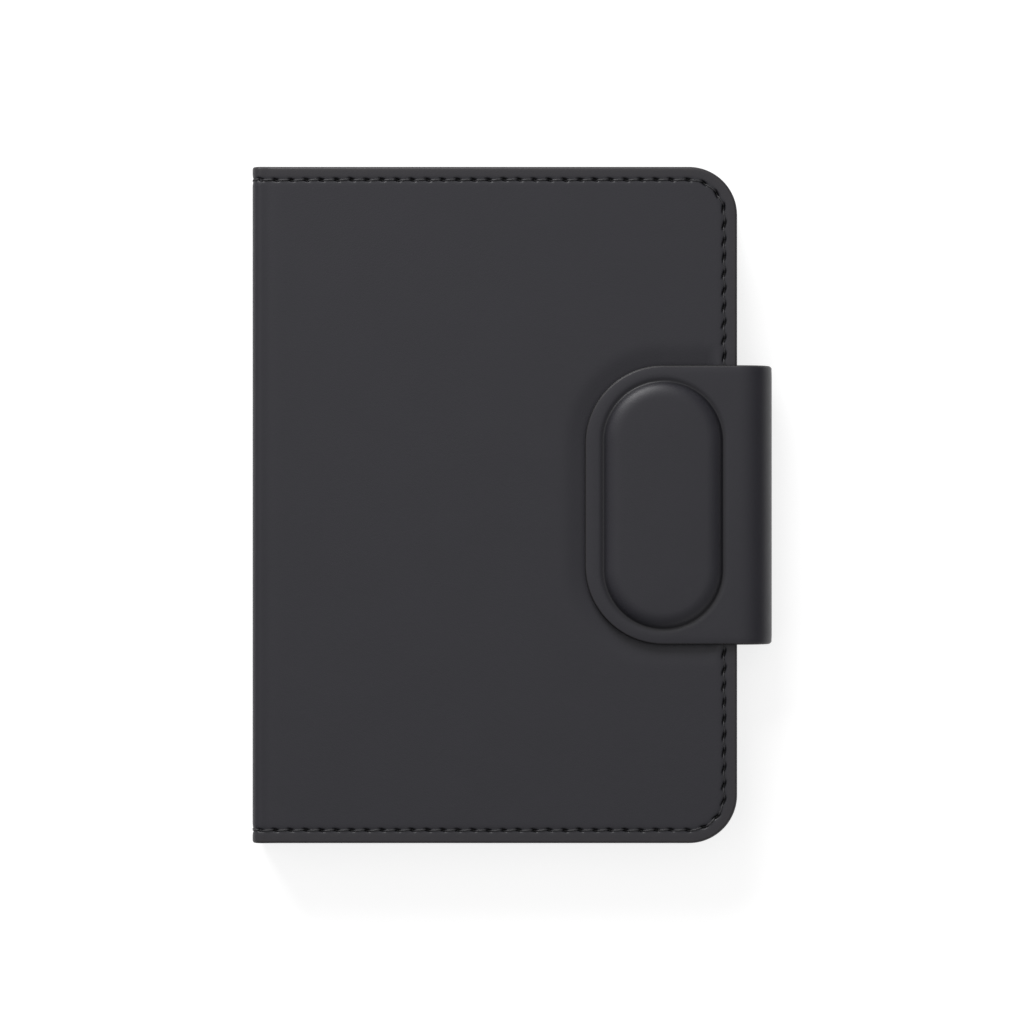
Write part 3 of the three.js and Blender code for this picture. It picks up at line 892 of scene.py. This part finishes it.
def make_tab_skin():
    """The tab's skin: rounded edge, flat flange, raised pad, and the hollow that holds board and foam."""
    columns = strap_columns(TAB, 0.5, 1.0)
    n = len(columns)
    patch = Patch()
    rounding = TAB_EDGE_ROUND
    low = round_edge(rounding, 3, rounding, STRAP_SKIN_T - rounding, -90, 0)
    high = round_edge(rounding, 5, rounding, rounding + tab_roll(rounding), 0, 90)
    bead = round_edge(EDGE_PAINT, 8, 0.04, STRAP_SKIN_T / 2 + 0.08, -80, 80)
    face = [(d, tab_roll(d)) for d in (0.45, 0.65, 0.9, 1.2, 1.5, TAB_SECTION_EDGE)]
    section = [(1.0, STRAP_SKIN_T), *low, *bead, *high, *face]
    for inset, depth in section:
        painted = (inset, depth) in bead
        worn = TAB_EDGE_WEAR if inset < 0.2 and depth < 0.35 and not painted else 0.0
        # the bead is edge paint drawn near black, and partly painted shade for the dark line where the
        # tab's edge meets the cover
        patch.ring(*TAB.plan(columns, inset), depth, worn, PAINT_SHADE if painted else 0.0)
    patch.faces += walls(len(section), n)
    patch.faces += cut_end(len(section), n)
    steep, crown = np.arange(PAD_REGION_R, 9.0, -0.15), np.arange(8.4, 0.5, -1.0)
    outside = pad_rings(np.concatenate([steep, crown]), pad_height)
    inside = pad_rings((PAD_WALL_R, 11.0, 10.6, 10.2, 9.8, 9.4, 8.0), cavity_height)
    inside.insert(0, (*inside[0][:2], STRAP_SKIN_T))
    for base, rings in (((len(section) - 1) * n, outside), (0, inside)):
        first = len(patch.points)
        for u, v, depth in rings:
            reach = np.hypot(u[0] - PAD_U, max(abs(v[0]) - PAD_HALF, 0))
            # painted shade: the pressed groove round the pad is drawn darker for the shade that falls into
            # it
            patch.ring(u, v, depth, shade=GROOVE_PAINTED_SHADE * bell(reach, PAD_FOOT_R, GROOVE_W))
        m = len(rings[0][0])
        patch.faces += walls(len(rings), m, first, closed=True)
        patch.faces.append(tuple(first + (len(rings) - 1) * m + j for j in range(m)))
        strips = fill(base, n, BEND_STEPS)
        patch.faces += strips[:-1]
        border = strips[-1]
        patch.faces += zip_loops(border, range(first, first + m), patch.uv, PAD_U)
    paint = {"wear": np.array(patch.wear), "shade": np.array(patch.shade)}
    piece = make_object("tab_skin_wrap", patch.points, patch.faces, "skin", **paint)
    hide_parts("tab_skin")
    return piece


def make_foam():
    """The foam that fills the pad, rounded over as the skin above it is."""
    floor = FOAM_LOW.z - TAB_FACE
    radii = np.linspace(PAD_WALL_R - 0.2, PAD_CREST_R - 1, 10)
    rings = pad_rings(radii, lambda r: cavity_height(r) - 0.06, 40, 8)
    bottom = [(*obround(r, 40, 8), -floor) for r in (PAD_CREST_R, PAD_WALL_R - 0.35, PAD_WALL_R - 0.2)]
    rings = bottom + [ring for ring in rings if ring[2] < -floor]
    m = len(rings[0][0])
    points = np.concatenate([wrap_strap(u, v, depth, True) for u, v, depth in rings])
    faces = walls(len(rings), m, closed=True)
    faces += [tuple(range(m)), tuple((len(rings) - 1) * m + j for j in range(m))]
    piece = make_object("pad_foam", points, faces, "foam", "strap_tab")
    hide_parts("tab_foam_pad")


def bend_round_edge(piece, top):
    """Bakes the piece's placement into its mesh, the same for the tab's pieces and the root's."""
    if top:
        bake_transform(piece)
    else:
        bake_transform(piece)


def make_strap():
    tab_skin = make_tab_skin()
    skin = band_section(STRAP_SKIN_T, 0.3, 0, 0, 1.0)
    lining = band_section(STRAP_LINING_T, 0.15, STRAP_LINING_INSET, STRAP_LINING_DEPTH, 0.8)
    tongue_columns = strap_columns(TONGUE, 0.4, 3.0)
    tab_columns = strap_columns(TAB, 0.6, 2.0)
    tab_lining = make_band("tab_lining_wrap", TAB, tab_columns, lining, True, "lining", ["tab_lining"])
    root_skin = make_band(
        "strap_root_skin", TONGUE, tongue_columns, skin, False, "skin",
        ["strap_anchor_skin", "strap_edge_skin"],
    )
    root_lining = make_band(
        "strap_root_lining", TONGUE, tongue_columns, lining, False, "lining",
        ["strap_anchor_lining", "strap_edge_lining"],
    )
    for piece in (tab_skin, tab_lining):
        bend_round_edge(piece, top=True)
    for piece in (root_skin, root_lining):
        bend_round_edge(piece, top=False)
    make_foam()


make_strap()

# ---------------------------------------------------------------- pockets

MOUTH_ROUND = 0.22
CREASE = 2.2  # from a pocket's mouth to its pressed line


def pocket_face(u, height, gap):
    """Heights of a pocket's upper and lower face. They round over to meet at the mouth."""
    short = np.clip(MOUTH_ROUND - u, 0, None)
    lip = MOUTH_ROUND - np.sqrt(np.clip(MOUTH_ROUND**2 - short**2, 0, None))
    crease = 0.1 * bell(u, CREASE, 0.28)
    return height - 0.97 * lip - crease, gap + 0.97 * lip


def make_pocket(node, outline, place, height, gap, body):
    """A panel glued down on three sides, with a turned lip and a pressed line at its mouth."""
    first = [*np.linspace(0, 0.3, 7), 0.6, 1.0, 1.4, *np.linspace(1.6, 2.8, 13), 3.2, 4.0]
    columns = outline.columns(4.0, 0.6, 4.0, first)
    edge = 0.22
    top_edge = [(edge * (1 - math.sin(a)), math.cos(a)) for a in np.radians((90, 70, 50, 30, 15, 0))]
    rings, wear = [], []

    def ring(inset, heights, rubbed=0.0):
        rings.append(place(*outline.plan(columns, inset), heights))
        wear.append(np.full(len(columns), rubbed))

    u_mouth, _ = outline.plan(columns, POCKET_RIM)
    _, under = pocket_face(u_mouth - outline.start, height, gap)
    ring(POCKET_RIM, under)
    ring(POCKET_RIM, np.zeros(len(columns)))
    ring(0.0, np.zeros(len(columns)))
    for inset, drop in top_edge:
        u, _ = outline.plan(columns, inset)
        upper, _ = pocket_face(u - outline.start, height, gap)
        ring(inset, upper - edge * (1 - drop) if inset < edge else upper, 0.8 if inset < 0.1 else 0.2)
    for inset in (0.9, 1.3, 1.5, 1.7, 2.1, 3.0):
        u, _ = outline.plan(columns, inset)
        upper, _ = pocket_face(u - outline.start, height, gap)
        ring(inset, upper - 0.08 * bell(inset, POCKET_RIM, 0.25))
    faces = slab_faces(len(rings), len(columns), len(first) - 1)
    mouth_wear = [0.5 * bell(np.minimum(columns, outline.total - columns), 0, 0.4)] * len(rings)
    paint = np.concatenate(wear) + np.concatenate(mouth_wear)
    piece = make_object(f"{node}_panel", np.concatenate(rings), faces, "pocket", body, wear=paint)
    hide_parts(node)


def make_pockets():
    reach = SLEEVE_HIGH.x - SLEEVE_LOW.x
    sleeve = Outline(0, reach, SLEEVE_HIGH.y, POCKET_CORNER_R)
    height = SLEEVE_HIGH.z - SLEEVE_LOW.z
    make_pocket(
        "passport_sleeve", sleeve,
        lambda u, v, h: np.stack([SLEEVE_LOW.x + u, v, SLEEVE_LOW.z + h], axis=-1),
        height, height - 0.5, "back_cover",
    )
    for name in ("card_pocket_upper", "card_pocket_middle", "card_pocket_lower"):
        low, high = corners(name)
        card = Outline(0, high.y - low.y, (high.x - low.x) / 2, POCKET_CORNER_R)
        middle = (high.x + low.x) / 2
        make_pocket(
            name, card,
            lambda u, v, h: np.stack([middle + v, high.y - u, high.z - h], axis=-1),
            high.z - low.z, CARD_GAP, "front_cover",
        )


make_pockets()

# ---------------------------------------------------------------- the stiff parts inside


CAD_LOOKS = {
    "board": ("back_cover_board", "front_cover_board", "spine_board", "tab_board"),
    "steel": ("keeper_plate",),
    "magnet": ("tab_magnet_upper", "tab_magnet_lower"),
}


def finish_cad_nodes():
    """Each part that shows its CAD shape gets its material."""
    for look, names in CAD_LOOKS.items():
        for name in names:
            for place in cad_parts[name].material_slots:
                place.material = LOOKS[look]


finish_cad_nodes()

# ---------------------------------------------------------------- floor and light

FLOOR_GLOW = 0.77
FLOOR_GREY = 0.42
FLOOR_REACH = 4.0  # metres each way
LIGHTS = (  # towards the light, degrees from its middle where it is full and where it is gone, brightness
    ((-0.12, 0.15, 0.98), 0, 62, 1.26),  # ceiling
    ((-1.0, 0.1, 0.3), 12, 50, 0.35),  # wall beyond the spine
    ((0.60, -0.80, 0.0), 0, 60, 0.9),  # wall facing the lamp
)
LAMP_AWAY = 1.2  # metres from the middle of the scene
LAMPS = (  # name, watts, size, degrees round from +X, degrees above the floor
    ("key", 14.0, 0.65, 112, 29),
)


def make_stage():
    mesh = bpy.data.meshes.new("floor")
    reach = FLOOR_REACH
    square = [(-reach, -reach, 0), (reach, -reach, 0), (reach, reach, 0), (-reach, reach, 0)]
    mesh.from_pydata(square, [], [(0, 1, 2, 3)])
    floor = bpy.data.objects.new("floor", mesh)
    paper = Look("floor_paper", Roughness=0.9, Specular_IOR_Level=0.1, Emission_Strength=FLOOR_GLOW)
    paper.shader.inputs["Emission Color"].default_value = (1, 1, 1, 1)
    low, high = FLOOR_GREY - 0.01, FLOOR_GREY + 0.01
    paper.feed("Base Color", paper.blend_colours(paper.noise(40.0), (low, low, low), (high, high, high)))
    mesh.materials.append(paper.material)
    floor.location.z = -THREAD_PROUD * MM
    bpy.context.scene.collection.objects.link(floor)


def make_light():
    """A white light tent, whose lights are round patches that fade towards their edges, and the lamps."""
    world = bpy.data.worlds.new("studio")
    world.use_nodes = True
    tree = world.node_tree
    direction = tree.nodes.new("ShaderNodeTexCoord").outputs["Generated"]

    def step(kind, operation, first, second=None):
        node = tree.nodes.new(kind)
        node.operation = operation
        tree.links.new(first, node.inputs[0])
        if isinstance(second, bpy.types.NodeSocket):
            tree.links.new(second, node.inputs[1])
        elif second is not None:
            node.inputs[1].default_value = second
        return node.outputs["Value"]

    total = None
    for axis, full, gone, brightness in LIGHTS:
        cosine = step("ShaderNodeVectorMath", "DOT_PRODUCT", direction, unit(axis))
        away = step("ShaderNodeMath", "ARCCOSINE", cosine)
        patch = tree.nodes.new("ShaderNodeMapRange")
        patch.interpolation_type = "SMOOTHSTEP" if full else "LINEAR"
        tree.links.new(away, patch.inputs["Value"])
        edges = (math.radians(full), math.radians(gone), brightness, 0)
        for socket, value in zip(("From Min", "From Max", "To Min", "To Max"), edges):
            patch.inputs[socket].default_value = value
        light = patch.outputs["Result"]
        total = light if total is None else step("ShaderNodeMath", "ADD", total, light)
    tree.nodes["Background"].inputs["Color"].default_value = (1, 1, 1, 1)
    tree.links.new(total, tree.nodes["Background"].inputs["Strength"])
    bpy.context.scene.world = world
    for name, watts, size, around, above in LAMPS:
        light = bpy.data.lights.new(name, "AREA")
        light.size = size
        light.energy = watts
        lamp = bpy.data.objects.new(name, light)
        turn, rise = math.radians(around), math.radians(above)
        flat = LAMP_AWAY * math.cos(rise)
        lamp.location = (flat * math.cos(turn), flat * math.sin(turn), LAMP_AWAY * math.sin(rise))
        lamp.rotation_euler = (-lamp.location).to_track_quat("-Z", "Y").to_euler()
        bpy.context.scene.collection.objects.link(lamp)
    bpy.context.scene.view_settings.view_transform = "Standard"


make_stage()
make_light()
